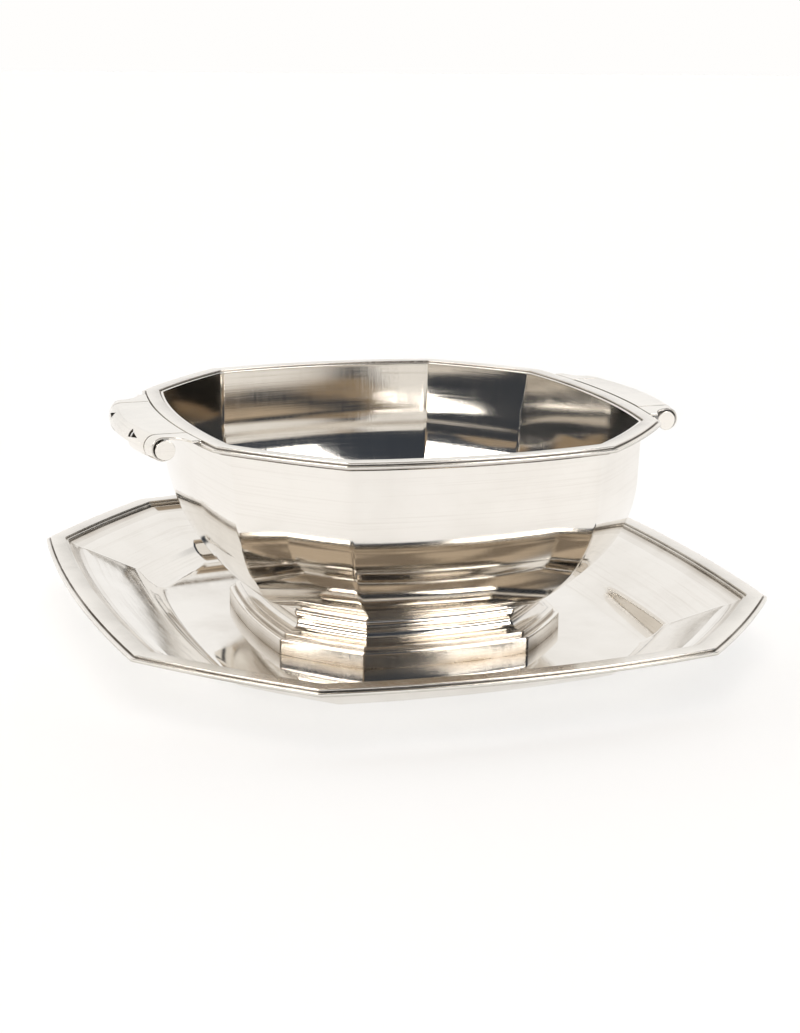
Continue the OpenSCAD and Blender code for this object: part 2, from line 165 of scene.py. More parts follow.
def loop(circles, insets, z, soft):
    """Points round a bowed octagon, drawn in by (side, end, corner) insets."""
    (sx, sy, sr), (ex, ey, er), (cx, cy, cr) = circles
    rs, re, rc = sr - insets[0], er - insets[1], cr - insets[2]
    ax, ay = crossing((sx, sy), rs, (cx, cy), rc)
    bx, by = crossing((ex, ey), re, (cx, cy), rc)
    corners = [(bx, -by), (bx, by), (ax, ay), (-ax, ay)]
    corners += [(-bx, by), (-bx, -by), (-ax, -ay), (ax, -ay)]
    arcs = [(ex, 0, re), (cx, cy, rc), (0, sy, rs), (-cx, cy, rc)]
    arcs += [(-ex, 0, re), (-cx, -cy, rc), (0, -sy, rs), (cx, -cy, rc)]
    pts, ends = [], []
    for k, (ox, oy, r) in enumerate(arcs):
        (x0, y0), (x1, y1) = corners[k], corners[(k + 1) % 8]
        a0, a1 = math.atan2(y0 - oy, x0 - ox), math.atan2(y1 - oy, x1 - ox)
        turn = (a1 - a0 + math.pi) % (2 * math.pi) - math.pi
        trim = min(soft / r, 0.3 * turn)
        steps = LONG_STEPS if k % 2 == 0 else SHORT_STEPS
        near = min(EDGE_GAP / (r * turn), 0.04)
        ang = a0 + trim + (turn - 2 * trim) * spread(steps, near)
        pts.append(np.stack([ox + r * np.cos(ang), oy + r * np.sin(ang)], 1))
    out = []
    for k in range(8):
        out.append(pts[k])
        p0, p1, v = pts[k][-1], pts[(k + 1) % 8][0], np.array(corners[(k + 1) % 8])
        for t in np.linspace(0, 1, BRIDGE_STEPS + 1)[1:-1]:
            out.append([(1 - t) ** 2 * p0 + 2 * t * (1 - t) * v + t * t * p1])
    flat = np.concatenate(out)
    return np.column_stack([flat, np.full(len(flat), z)])


print("points in a loop:", len(loop(RIM, (0, 0, 0), TOP, 0.6)))


# %% [markdown]
# ## Lofting loops into a solid
# A loft joins each loop to the next with a band of faces. A shell such as the
# bowl starts underneath, climbs the outside, turns over the rim and comes down
# the inside, so one list of loops gives a closed wall with real thickness.

# %% Object and mesh helpers
def to_object(name, mesh):
    """Puts the mesh into the scene as an object."""
    obj = bpy.data.objects.new(name, mesh)
    bpy.context.scene.collection.objects.link(obj)
    return obj


def bake(obj):
    """Applies the modifiers of obj, so that a plain mesh is left."""
    graph = bpy.context.evaluated_depsgraph_get()
    mesh = bpy.data.meshes.new_from_object(
        obj.evaluated_get(graph), preserve_all_data_layers=True, depsgraph=graph
    )
    obj.modifiers.clear()
    old, obj.data = obj.data, mesh
    bpy.data.meshes.remove(old)
    return obj


def even_normals(obj):
    """Large faces decide the shading, small edge faces follow."""
    mod = obj.modifiers.new("weighted", "WEIGHTED_NORMAL")
    mod.mode = "FACE_AREA"
    mod.weight = 90
    return bake(obj)


# %% Loft helper
def loft(name, loops, joined, shade_and_tarnish_levels):
    """A closed body through the loops; the last argument gives 0 (clean) to 1 (darkest painted tarnish and
    shade) for each loop.
    """
    n, m = len(loops[0]), len(loops)
    verts = np.concatenate(loops) * MM
    rows = range(m if joined else m - 1)
    faces = []
    for i in rows:
        a, b = i * n, (i + 1) % m * n
        faces += [(a + j, a + (j + 1) % n, b + (j + 1) % n, b + j) for j in range(n)]
    if not joined:
        faces.append(tuple(reversed(range(n))))
        faces.append(tuple(range((m - 1) * n, m * n)))
    mesh = bpy.data.meshes.new(name)
    mesh.from_pydata(verts.tolist(), [], faces)
    mesh.validate()
    mesh.shade_smooth()
    # painted tarnish and shade: each loop's darkness, 0 to 1, is stored on its points for the silver recipe
    tone = mesh.attributes.new("tarnish_and_shade", "FLOAT", "POINT")
    tone.data.foreach_set("value", np.repeat(np.array(shade_and_tarnish_levels, float), n))
    obj = even_normals(to_object(name, mesh))
    print(name, len(obj.data.vertices), "points")
    return obj


# %% [markdown]
# ## Softening a section
# The section of a border or a foot is drawn with straight lines. Before it is
# lofted, each corner is replaced by a short curve, because polishing rounds
# every edge. The third number of a corner says how dark it is painted, from
# tarnish and from painted shade in the recess it lies in. A fourth number,
# where there is one, is that corner's own radius.

# %% Round the corners of a section
def soften(section, radius, closed, steps=3):
    """section: [(inset, z, darkness, radius)], the last one optional, darkness being painted tarnish and
    shade; gives denser rows.
    """
    rows, n = [], len(section)
    for k, corner in enumerate(section):
        p = np.array(corner[:2], float)
        dark = corner[2]
        r = corner[3] if len(corner) > 3 else radius
        if not closed and k in (0, n - 1):
            rows.append((p[0], p[1], dark))
            continue
        before = np.array(section[k - 1][:2], float)
        after = np.array(section[(k + 1) % n][:2], float)
        l0, l1 = np.linalg.norm(before - p), np.linalg.norm(after - p)
        r0, r1 = min(r, 0.42 * l0), min(r, 0.42 * l1)
        start, stop = p + (before - p) / l0 * r0, p + (after - p) / l1 * r1
        lead = p + (before - p) / l0 * min(r0 * 1.25, 0.47 * l0)
        tail = p + (after - p) / l1 * min(r1 * 1.25, 0.47 * l1)
        rows.append((*lead, dark))
        for t in np.linspace(0, 1, steps + 1):
            q = (1 - t) ** 2 * start + 2 * t * (1 - t) * p + t * t * stop
            rows.append((*q, dark))
        rows.append((*tail, dark))
    return rows


def section_loft(name, circles, section, radius, soft, base=(0, 0, 0)):
    """A ring whose closed section runs round the octagon; base is its own inset."""
    rows = soften(section, radius, True)
    loops = [loop(circles, [b + d for b in base], z, soft) for d, z, _ in rows]
    return loft(name, loops, True, [row[2] for row in rows])


# %% [markdown]
# ## Polished silver
# Silver is nearly white, but a used piece is never a perfect mirror. Three
# things break the reflection up: a slow waviness left by the hammer and the
# polishing mop, fine hairlines from cleaning, and a brown to black tone in
# corners and hollows, which is partly tarnish and partly painted shade. Each
# one is a noise pattern in the object's own coordinates, so it stays put when
# the camera moves.

# %% Short names for shader nodes
def mapped(nodes, links, coord, scale, turn=(0, 0, 0)):
    step = nodes.new("ShaderNodeMapping")
    step.inputs["Scale"].default_value = scale
    step.inputs["Rotation"].default_value = turn
    links.new(coord, step.inputs["Vector"])
    return step.outputs["Vector"]


def noise(nodes, links, vector, scale, detail=3.0, rough=0.55):
    tex = nodes.new("ShaderNodeTexNoise")
    tex.inputs["Scale"].default_value = scale
    tex.inputs["Detail"].default_value = detail
    tex.inputs["Roughness"].default_value = rough
    links.new(vector, tex.inputs["Vector"])
    return tex.outputs["Fac"]


def remap(nodes, links, value, low, high, to_low, to_high):
    step = nodes.new("ShaderNodeMapRange")
    for name, number in zip(("From Min", "From Max", "To Min", "To Max"), (low, high, to_low, to_high)):
        step.inputs[name].default_value = number
    links.new(value, step.inputs["Value"])
    return step.outputs["Result"]


def maths(nodes, links, kind, a, b):
    step = nodes.new("ShaderNodeMath")
    step.operation = kind
    for socket, value in zip(step.inputs, (a, b)):
        if isinstance(value, (int, float)):
            socket.default_value = value
        else:
            links.new(value, socket)
    return step.outputs[0]


def bump(nodes, links, height, distance, strength, normal=None):
    step = nodes.new("ShaderNodeBump")
    step.inputs["Distance"].default_value = distance
    step.inputs["Strength"].default_value = strength
    links.new(height, step.inputs["Height"])
    if normal is not None:
        links.new(normal, step.inputs["Normal"])
    return step.outputs["Normal"]


# %% [markdown]
# ## One recipe, several metals
# The bowl, tray, borders, foot and handles were finished by the same hands, so
# one recipe makes them all. What differs is how bright the metal is, how dark
# its corners are painted with tarnish and painted shade, and how fine the last
# polish was.

# %% Silver recipe
CLOUD, SPECK, WAVE = 38.0, 420.0, 26.0  # noise scales: film patches, specks, hammer waves
HAIRLINES = (14, 14, 1500)  # stretched level, the way a cloth is rubbed round the bowl
CROSS_LINES = (900, 60, 60)
CROSS_TURN = (0.3, 0.5, 0.8)
WAVE_DEPTH, HAIR_DEPTH, SPECK_DEPTH = 0.0006, 0.00004, 0.00001  # metres


def silver(name, colour, tarnish_and_shade_colour, rough, brushed, waves):
    """colour and the third argument, the colour of tarnish and painted shade, are linear; rough is (low,
    high); brushed and waves are bump strengths.
    """
    mat = bpy.data.materials.new(name)
    mat.use_nodes = True
    nodes, links = mat.node_tree.nodes, mat.node_tree.links
    shader = nodes["Principled BSDF"]
    shader.inputs["Metallic"].default_value = 1.0
    coord = nodes.new("ShaderNodeTexCoord").outputs["Object"]
    tarnish_and_shade = nodes.new("ShaderNodeAttribute")
    tarnish_and_shade.attribute_name = "tarnish_and_shade"
    deep = tarnish_and_shade.outputs["Fac"]

    cloud = noise(nodes, links, coord, CLOUD, 4.0)
    lines = noise(nodes, links, mapped(nodes, links, coord, HAIRLINES), 1.0, 5.0, 0.7)
    cross = noise(nodes, links, mapped(nodes, links, coord, CROSS_LINES, CROSS_TURN), 1.0, 4.0, 0.7)
    speck = noise(nodes, links, coord, SPECK, 3.0)

    # painted shade and tarnish: each mesh's darkness attribute, broken up by the cloud, mixes the metal
    # towards the dark colour in corners, hollows and inside the handle rolls
    shade_and_tarnish_amount = maths(nodes, links, "MULTIPLY", deep, remap(nodes, links, cloud, 0.35, 0.65, 0.65, 1.0))
    haze = remap(nodes, links, cloud, 0.42, 0.72, 0.0, 0.10)
    streak = remap(nodes, links, lines, 0.52, 0.75, 0.0, 0.14)
    amount = maths(nodes, links, "ADD", shade_and_tarnish_amount, maths(nodes, links, "ADD", haze, streak))
    tone = nodes.new("ShaderNodeMix")
    tone.data_type = "RGBA"
    tone.inputs["A"].default_value = (*colour, 1)
    tone.inputs["B"].default_value = (*tarnish_and_shade_colour, 1)
    links.new(amount, tone.inputs["Factor"])
    links.new(tone.outputs["Result"], shader.inputs["Base Color"])

    grain = maths(nodes, links, "ADD", lines, cross)
    base = remap(nodes, links, grain, 0.75, 1.3, rough[0], rough[1])
    extra = maths(nodes, links, "MULTIPLY", amount, 0.25)
    links.new(maths(nodes, links, "ADD", base, extra), shader.inputs["Roughness"])

    slow = noise(nodes, links, coord, WAVE, 1.0)
    wavy = bump(nodes, links, slow, WAVE_DEPTH, waves)
    lined = bump(nodes, links, grain, HAIR_DEPTH, brushed, wavy)
    speckled = bump(nodes, links, speck, SPECK_DEPTH, brushed * 0.2, lined)
    links.new(speckled, shader.inputs["Normal"])
    return mat


# %% The metals
SILVER = (0.87, 0.84, 0.795)
WORN_SILVER = (0.88, 0.845, 0.79)
FOOT_SILVER = (0.90, 0.865, 0.815)
HANDLE_SILVER = (0.90, 0.865, 0.81)
STEEL = (0.56, 0.55, 0.53)
# the first three are the dark colours that corners and hollows are painted towards, partly tarnish and
# partly painted shade, and almost black painted shade inside the handle rolls; all four also give the random
# haze and hairline streaks
TARNISH_SHADE_TONE = (0.30, 0.235, 0.16)
DEEP_TARNISH_SHADE_TONE = (0.10, 0.078, 0.055)
BLACK_SHADE_AND_HAZE = (0.035, 0.028, 0.02)
STEEL_FILM = (0.2, 0.16, 0.12)
mat_bowl = silver("polished_silver_bowl", SILVER, TARNISH_SHADE_TONE, (0.035, 0.10), 0.14, 0.05)
mat_tray = silver("polished_silver_tray", SILVER, TARNISH_SHADE_TONE, (0.03, 0.09), 0.10, 0.06)
mat_border = silver("border_silver", WORN_SILVER, DEEP_TARNISH_SHADE_TONE, (0.10, 0.20), 0.12, 0.03)
mat_foot = silver("foot_silver", FOOT_SILVER, TARNISH_SHADE_TONE, (0.05, 0.11), 0.10, 0.04)
mat_handle = silver("handle_silver", HANDLE_SILVER, BLACK_SHADE_AND_HAZE, (0.10, 0.20), 0.12, 0.04)
mat_fixing = silver("fixing_steel", STEEL, STEEL_FILM, (0.28, 0.42), 0.25, 0.02)
print("materials:", len(bpy.data.materials))


# %% [markdown]
# ## Dressing a piece
# Each new piece takes a material, rides on the one body of the frame, hides
# the engineering node it stands for and says how far its box lies from that node's.

# %% Dress helper
def dress(obj, material, node):
    """Gives obj its metal and its place in the frame, and says how well it fits."""
    obj.data.materials.clear()
    obj.data.materials.append(material)
    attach(obj, "root")
    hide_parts(node)
    low, high = obj_box(obj)
    cad_low, cad_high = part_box(node)
    off = max(abs(a - b) for a, b in zip((*low, *high), (*cad_low, *cad_high)))
    print(f"{obj.name}: largest difference from its node {off / MM:.2f} mm")


def obj_box(obj):
    """Lowest and highest corner of the mesh, in metres."""
    pts = np.empty(len(obj.data.vertices) * 3)
    obj.data.vertices.foreach_get("co", pts)
    pts = pts.reshape(-1, 3)
    return pts.min(0), pts.max(0)


# %% [markdown]
# ## The bowl
# The wall stands almost upright under the rim, then turns in through two arcs
# that run into each other: a wide one for the belly and a tighter one above the
# foot. The long sides, ends and corner faces draw in by different amounts, so
# each has its own pair of arcs.

# %% Belly rule
BELLY = {"side": (32.8, 25.0), "end": (29.8, 21.0), "corner": (33.6, 22.0)}
END_LEAN = 1.2
BELLY_H = BELLY_TOP - BOWL_BASE


def belly(z, draw_in, turn, inside):
    """How far in from the wall the belly is at height z."""
    rest = BELLY_H - turn
    big = (draw_in**2 + rest**2 - turn**2) / (2 * (draw_in - turn))
    joint = BOWL_BASE + turn - turn * rest / (big - turn)
    if z >= BELLY_TOP:
        return inside
    if z >= joint:
        return big - math.sqrt((big - inside) ** 2 - (BELLY_TOP - z) ** 2)
    return draw_in - math.sqrt(max((turn - inside) ** 2 - (BOWL_BASE + turn - z) ** 2, 0))


def bowl_insets(z, inside):
    """Insets of the three circles at height z; inside is 0 or the sheet's thickness."""
    lean = END_LEAN * (RIM_LOW - max(z, BELLY_TOP)) / (RIM_LOW - BELLY_TOP)
    return (
        WALL_IN + belly(z, *BELLY["side"], inside),
        WALL_IN + lean + belly(z, *BELLY["end"], inside),
        WALL_IN + belly(z, *BELLY["corner"], inside),
    )


# %% Bowl shell
BELLY_STEPS = 44
WALL_LEVELS = (66.0, 72.0)


def bowl_levels(inside):
    """Heights from the floor to the top of the belly, closest together low down."""
    t = np.linspace(0, 90, BELLY_STEPS + 1)
    return BOWL_BASE + inside + (BELLY_H - inside) * (1 - np.cos(np.radians(t)))


def make_bowl():
    """Up the outside, over the flange and the lip, and down the inside."""
    t = BOWL_SHEET
    flange = RIM_LOW - t
    lip = TOP - LIP_DROP
    # the third number of each row is painted tarnish and shade: a little just above the bottom, more under
    # the flange, darkest on the lip beside the border
    rows = [(bowl_insets(z, 0), z, 0.25 if z < BOWL_BASE + 0.6 else 0.0) for z in bowl_levels(0)]
    rows += [(bowl_insets(z, 0), z, 0.0) for z in (*WALL_LEVELS, flange - 0.9)]
    rows += [(bowl_insets(flange, 0), flange - 0.3, 0.35), (bowl_insets(flange, 0), flange, 0.6)]
    rows += [((HIDE,) * 3, flange, 0.3), ((HIDE,) * 3, RIM_LOW, 0.3)]
    rows += [((WALL_IN,) * 3, RIM_LOW, 0.8), ((WALL_IN,) * 3, lip - 0.25, 0.8)]
    rows += [((WALL_IN + 0.04,) * 3, lip - 0.1, 0.4), ((WALL_IN + 0.14,) * 3, lip, 0.1)]
    rows += [((WALL_IN + t - 0.2,) * 3, lip, 0.0), ((WALL_IN + t - 0.06,) * 3, lip - 0.06, 0.0)]
    rows += [((WALL_IN + t,) * 3, lip - 0.2, 0.0), ((WALL_IN + t,) * 3, lip - 0.6, 0.0)]
    inner = [(bowl_insets(z, t), z, 0.0) for z in reversed(bowl_levels(t))]
    rows += [(bowl_insets(z, t), z, 0.0) for z in reversed(WALL_LEVELS)] + inner
    loops = [loop(RIM, i, z, 0.8) for i, z, _ in rows]
    return loft("bowl_shell_polished", loops, False, [row[2] for row in rows])


bowl = make_bowl()
dress(bowl, mat_bowl, "bowl_shell")

# %% [markdown]
# ## The rim and tray borders
# Two flat layers are soldered on each edge. The lower one stands out a little,
# so from the side the edge reads as two fine steps with a dark line between,
# painted on the ledge as shade and tarnish.

# %% Border layers
def border(name, circles, outer, inner, z0, z1, ledge, node):
    """A flat ring from outer to inner; ledge is where the next layer starts."""
    # painted shade and tarnish: the foot of each layer is painted dark, and the ledge beside the upper layer
    # darkest
    low = 0.95 if ledge is None else 0.55
    section = [(outer, z0, low, 0.08)]
    if ledge is None:
        section.append((outer, z0 + 0.3, 0.25, 0.1))
    section.append((outer, z1, 0.0, 0.26))
    if ledge is not None:
        section += [(ledge - 0.7, z1, 0.1, 0.1), (ledge - 0.3, z1, 1.0, 0.1)]
        section.append((ledge + 0.3, z1, 1.0, 0.1))
    section += [(inner, z1, 0.25, 0.18), (inner, z0, 0.8, 0.08)]
    piece = section_loft(name, circles, section, 0.2, 0.7)
    dress(piece, mat_border, node)
    return piece


border("rim_border_upper", RIM, 0, RIM_BAND, RIM_MID, TOP, None, "rim_plate")
border("rim_border_lower", RIM, -LAYER_STEP, RIM_BAND, RIM_LOW, RIM_MID, 0, "rim_bead")
border(
    "tray_border_upper", TRAY, 0, TRAY_BAND, TRAY_MID, TRAY_TOP, None,
    "tray_border_plate",
)
border(
    "tray_border_lower", TRAY, -LAYER_STEP, TRAY_BAND + 1, TRAY_SEAT, TRAY_MID, 0,
    "tray_border_bead",
)

# %% [markdown]
# ## The tray
# One sheet: a flat seat under the border, a small cove, a long sloping marli,
# a steeper fall and the flat well. In the middle, hidden by the foot, the sheet
# rises to a small platform with a hole, so the fixing underneath clears the
# table.

# %% Tray sheet
BOSS_R, BOSS_Z, HOLE_R = 12.5, 7.4, 2.7
SEAT_W = 7.4
COVE = (12.5, TRAY_TOP - 4.0)
MARLI = (31.0, TRAY_TOP - 11.5)
WELL_IN = 38.5


def ring_circle(like, radius, z):
    """A round loop whose points lie on the same bearings as those of another loop."""
    flat = like[:, :2] / np.linalg.norm(like[:, :2], axis=1)[:, None] * radius
    return np.column_stack([flat, np.full(len(flat), z)])


def make_tray():
    """Out along the underside, round the edge, back along the top and over the middle."""
    s = TRAY_SHEET
    mid_top = ((MARLI[0] + WELL_IN) / 2, (MARLI[1] + s) / 2 - 1)
    mid_low = ((MARLI[0] + WELL_IN) / 2 + 0.6, MARLI[1] / 2 - 1.4)
    cove_mid = ((SEAT_W + COVE[0]) / 2, TRAY_SEAT - (TRAY_SEAT - COVE[1]) * 0.72)
    # the third numbers are painted tarnish and shade: darkest on the seat under the border, less in the cove
    # beside it and on the middle hidden by the foot
    section = [
        (WELL_IN + 6, 0, 0.0), (WELL_IN + 0.4, 0, 0.1, 3.0), (*mid_low, 0, 2.0),
        (MARLI[0] + 0.6, MARLI[1] - s, 0, 1.5), (COVE[0] + 0.4, COVE[1] - s, 0, 1.0),
        (SEAT_W, TRAY_SEAT - s, 0.2, 0.6), (HIDE, TRAY_SEAT - s, 0.2, 0.2),
        (HIDE, TRAY_SEAT, 0.4, 0.2), (SEAT_W, TRAY_SEAT, 0.55, 0.3), (*cove_mid, 0.15, 0.9),
        (*COVE, 0, 1.2), (*MARLI, 0, 1.6), (*mid_top, 0, 2.0), (WELL_IN, s, 0, 3.5), (WELL_IN + 6, s, 0),
    ]
    rows = soften(section, 0.5, False, steps=5)
    loops = [loop(TRAY, (d, d, d), z, 0.9) for d, z, _ in rows]
    shade_and_tarnish_levels = [r[2] for r in rows]
    like = loops[-1]
    middle = [
        (BOSS_R + BOSS_Z - s + 3, s), (BOSS_R + BOSS_Z - s, s), (BOSS_R, BOSS_Z), (HOLE_R, BOSS_Z),
        (HOLE_R, BOSS_Z - s), (BOSS_R - 1, BOSS_Z - s), (BOSS_R + BOSS_Z - 2 * s + 0.4, 0),
        (BOSS_R + BOSS_Z + 3, 0),
    ]
    loops += [ring_circle(like, r, z) for r, z in middle]
    shade_and_tarnish_levels += [0.3] * len(middle)
    return loft("tray_polished", loops, True, shade_and_tarnish_levels)


tray = make_tray()
dress(tray, mat_tray, "tray_plate")

# %% [markdown]
# ## The foot
# Three mouldings stacked: a half-round bead under the bowl, a hollow cove that
# spreads outwards, and a plinth with one small step. The grooves between them
# are painted darkest, partly tarnish and partly painted shade.

# %% Foot mouldings
NECK_IN = (37.9, 36.0, 38.6)
BEAD_OUT, BEAD_H, COVE_R = 1.1, 3.8, 3.6
NECK_WALL = 2.2
PLINTH_OUT, PLINTH_STEP = 3.9, 2.0
BEAD_Z = BOWL_BASE - 0.6 - BEAD_H / 2
COVE_Z = PLINTH_TOP + COVE_R


def make_neck():
    """The cove from the bottom up, then the half-round bead above it."""
    # the third number of each row is painted tarnish and shade, darkest in the grooves where the bead meets
    # the bowl and the cove
    rows = [(NECK_WALL, PLINTH_TOP, 0.3), (-COVE_R, PLINTH_TOP, 0.6)]
    for a in np.radians(np.linspace(88, 0, 14)):
        rows.append((-COVE_R + COVE_R * math.cos(a), COVE_Z - COVE_R * math.sin(a), 0.12))
    rows.append((0.0, COVE_Z + 0.15, 0.8))
    for degrees in np.linspace(-84, 84, 17):
        a = math.radians(degrees)
        dark = 0.7 if abs(degrees) > 75 else 0.0
        rows.append((-BEAD_OUT * math.cos(a), BEAD_Z + BEAD_H / 2 * math.sin(a), dark))
    rows += [(0.0, BOWL_BASE - 0.3, 0.9), (0.0, BOWL_BASE, 0.9), (NECK_WALL, BOWL_BASE, 0.5)]
    loops = [loop(RIM, [b + d for b in NECK_IN], z, 0.5) for d, z, _ in rows]
    return loft("foot_neck_moulding", loops, True, [row[2] for row in rows])


def make_plinth():
    """A square block with one step, standing on the tray."""
    out = PLINTH_OUT + COVE_R
    step_z = PLINTH_TOP - 1.5
    inner = NECK_WALL - 0.8 - 2
    # the third numbers are painted tarnish and shade, darkest where the plinth meets the tray and in its
    # step
    section = [
        (inner, TRAY_SHEET, 0.3, 0.1), (-out, TRAY_SHEET, 0.9, 0.15), (-out, step_z, 0.0, 0.75),
        (-out + PLINTH_STEP, step_z, 0.7, 0.12), (-out + PLINTH_STEP, PLINTH_TOP, 0.05, 0.3),
        (inner, PLINTH_TOP, 0.4, 0.1),
    ]
    return section_loft("foot_plinth_stepped", RIM, section, 0.2, 0.6, base=NECK_IN)


dress(make_neck(), mat_foot, "foot_neck")
dress(make_plinth(), mat_foot, "foot_plinth")

# %% [markdown]
# ## The handles
# A flat sheet leaves the rim flush with its top. Its outer edge rolls over and
# down round a curved line. The middle is rolled only half way and makes a lip
# for the thumb; the rest rolls right under, and a small notch, painted almost
# black inside as shade, shows where the two meet. Narrow bands run beside the
# sheet and roll over with it, and a solid plug closes each end of the roll.

# %% Handle sizes
HALF, BAND, GROOVE = 32.3, 5.2, 0.5
ROLL_X, ROLL_BOW, ROLL_R = 94.5, 120.0, 3.95
ROLL_Z = TOP - ROLL_R
MIDDLE, NOTCH_W = 14.0, 7.0
NOTCH_TOP, NOTCH_POINT, NOTCH_FOOT = 0.84, 0.45, 0.2  # shares of the roll's radius above its axis
WEB_Y, WEB_THICK = 14.4, 0.6
RIBBON_HALF = HALF - BAND - GROOVE
BAND_Y = HALF - BAND
FLARE = 7.3
PLUG_R = ROLL_R - LAYER_TOP - 0.3


def root_at(y):
    """Where the handle starts: the rim's end circle plus the groove."""
    cx, _, r = RIM[1]
    return cx + math.sqrt((r + GROOVE) ** 2 - y * y)


def axis_at(y):
    """The line that the roll follows."""
    return ROLL_X - ROLL_BOW + math.sqrt(ROLL_BOW**2 - y * y)


def sheet_line(y, degrees, flat_steps):
    """The upper face of the sheet in one slice: flat, then round the roll."""
    x0, x1 = root_at(y) + 0.2, axis_at(y)
    flat = [(x0 + (x1 - x0) * t, TOP) for t in np.linspace(0, 1, flat_steps)]
    turn = [(x1 + ROLL_R * math.cos(a), ROLL_Z + ROLL_R * math.sin(a)) for a in np.radians(degrees)]
    return flat + turn


# %% [markdown]
# ### Inside the roll
# The hollow of a roll lies in shade, and that shade is painted: every point
# that lies nearer to the roll's line than the middle of the sheet is marked,
# and the metal is painted almost black there.

# %% Painted shade inside the roll
def mark_inside(obj):
    """The hollow of the roll is marked to be painted almost black, as shade."""
    mesh = obj.data
    pts = np.empty(len(mesh.vertices) * 3)
    mesh.vertices.foreach_get("co", pts)
    x, y, z = (pts.reshape(-1, 3) / MM).T
    y = np.clip(y, -HALF, HALF)
    axis = ROLL_X - ROLL_BOW + np.sqrt(ROLL_BOW**2 - y * y)
    from_axis = np.hypot(np.abs(x) - axis, z - ROLL_Z)
    inside = (from_axis < ROLL_R - LAYER_TOP / 2) & (np.abs(x) > axis - 1.5)
    tone = mesh.attributes.get("tarnish_and_shade") or mesh.attributes.new("tarnish_and_shade", "FLOAT", "POINT")
    tone.data.foreach_set("value", inside.astype(np.float32))


# %% [markdown]
# ### From a surface to a sheet
# A silversmith starts with flat sheet of one thickness. Here the upper face is
# drawn as a grid of points, and Solidify gives it that thickness downwards.
# Bevel then breaks the cut edges by a sixth of a millimetre.

# %% Sheet with thickness and soft edges
EDGE_BREAK, EDGE_ANGLE = 0.16, 35


def sheet_object(name, grid, keep, side):
    """grid[i][j] = (x, y, z) in mm; keep(i, j) says if a face is there; side mirrors x."""
    rows, cols = len(grid), len(grid[0])
    bm = bmesh.new()
    pts = [[bm.verts.new((side * p[0] * MM, p[1] * MM, p[2] * MM)) for p in row] for row in grid]
    for i in range(rows - 1):
        for j in range(cols - 1):
            if keep(i, j):
                quad = [pts[i][j], pts[i][j + 1], pts[i + 1][j + 1], pts[i + 1][j]]
                bm.faces.new(quad[::-1] if side > 0 else quad)
    loose = [v for v in bm.verts if not v.link_faces]
    bmesh.ops.delete(bm, geom=loose, context="VERTS")
    mesh = bpy.data.meshes.new(name)
    bm.to_mesh(mesh)
    bm.free()
    obj = to_object(name, mesh)
    wall = obj.modifiers.new("wall", "SOLIDIFY")
    wall.thickness = LAYER_TOP * MM
    wall.offset = -1
    wall.use_even_offset = True
    bake(obj)
    mark_inside(obj)
    return obj


def finish_sheet(obj):
    """Breaks the cut edges and evens the shading."""
    edge = obj.modifiers.new("edge", "BEVEL")
    edge.width = EDGE_BREAK * MM
    edge.segments = 2
    edge.limit_method = "ANGLE"
    edge.angle_limit = math.radians(EDGE_ANGLE)
    bake(obj)
    obj.data.shade_smooth()
    return even_normals(obj)


# %% [markdown]
# ### The thumb piece, the notches and the webs
# The handle sheet is one grid. Past the edge of the thumb piece its middle
# columns stop half way round, and the outer ones carry on under. A wedge cuts
# the notch at each side of the middle, and a thin disc behind it closes the
# full roll, painted almost black as shade, so that the notch shows painted
# shade and not daylight.

# %% Notch and webs
def notch_cutter(side, up):
    """A wedge that points up the roll beside the middle."""
    y0, y1 = (MIDDLE - 0.4) * up, (MIDDLE + NOTCH_W) * up
    corners = ((y0, NOTCH_TOP), (y1, NOTCH_POINT), (y0, NOTCH_FOOT))
    tri = [(y, ROLL_Z + ROLL_R * share) for y, share in corners]
    verts = [(side * x * MM, y * MM, z * MM) for x in (ROLL_X - 2, ROLL_X + 8) for y, z in tri]
    mesh = bpy.data.meshes.new("cutter")
    mesh.from_pydata(verts, [], [(0, 1, 2), (5, 4, 3), (0, 3, 4, 1), (1, 4, 5, 2), (2, 5, 3, 0)])
    bm = bmesh.new()
    bm.from_mesh(mesh)
    bmesh.ops.recalc_face_normals(bm, faces=bm.faces)
    bm.to_mesh(mesh)
    bm.free()
    return to_object("cutter", mesh)


def join_webs(obj, side):
    """Thin discs, painted almost black as shade, that close the full roll beside the middle."""
    bm = bmesh.new()
    bm.from_mesh(obj.data)
    tone = bm.verts.layers.float.get("tarnish_and_shade") or bm.verts.layers.float.new("tarnish_and_shade")
    n, r = 36, ROLL_R - LAYER_TOP + 0.05
    for up in (-1, 1):
        rings = []
        for y in (WEB_Y, WEB_Y + WEB_THICK):
            cx = axis_at(y)
            ring = []
            for k in range(n):
                a = 2 * math.pi * k / n
                x, z = cx + r * math.cos(a), ROLL_Z + r * math.sin(a)
                v = bm.verts.new((side * x * MM, up * y * MM, z * MM))
                # painted shade: every point of the discs takes the full darkness
                v[tone] = 1.0
                ring.append(v)
            rings.append(ring)
        near, far = rings
        made = [bm.faces.new(near), bm.faces.new(far[::-1])]
        for k in range(n):
            after = (k + 1) % n
            made.append(bm.faces.new((near[k], far[k], far[after], near[after])))
        bmesh.ops.recalc_face_normals(bm, faces=made)
    bm.to_mesh(obj.data)
    bm.free()
    return obj


# %% Handle sheet
LIP_END, ROLL_END = -9, -100  # degrees round the roll, where the middle and the sides stop


